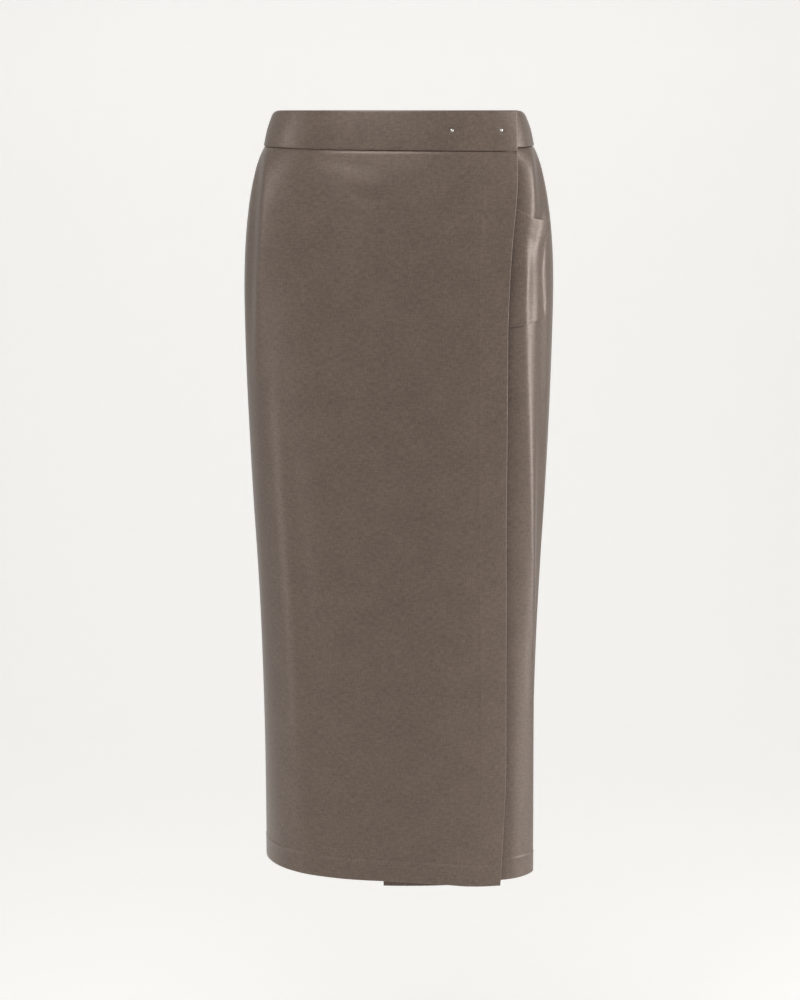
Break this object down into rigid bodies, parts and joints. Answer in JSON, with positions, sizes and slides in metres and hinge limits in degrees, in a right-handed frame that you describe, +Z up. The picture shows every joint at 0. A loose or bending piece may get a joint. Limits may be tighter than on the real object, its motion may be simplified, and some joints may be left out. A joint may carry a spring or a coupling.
{
  "type": "wrap skirt",
  "caption": "Straight wrap skirt, hollow as worn, one front lapped over the other, with a waistband, a patch pocket on the hip and small pin closures.",
  "frame": {"origin": "middle of the waist opening, half way down the waistband, where the wearer's waist holds the skirt", "axes": "+Z up, the front faces -Y, the wearer's left side and the free edge of the wrap are towards +X"},
  "size_m": [0.352, 0.2501, 0.8801],
  "materials": {
    "cloth": "taupe brushed cotton twill, soft and matt with a faint sheen at grazing angles",
    "pin_metal": "small polished domed pin heads"
  },
  "bodies": {
    "root": {"over_front": "cloth", "under_front": "cloth", "back": "cloth", "waistband_over_front": "cloth", "waistband_under_front": "cloth", "waistband_back": "cloth", "patch_pocket": "cloth", "pin_head_inner": "pin_metal", "pin_head_outer": "pin_metal"}
  },
  "joints": []
}
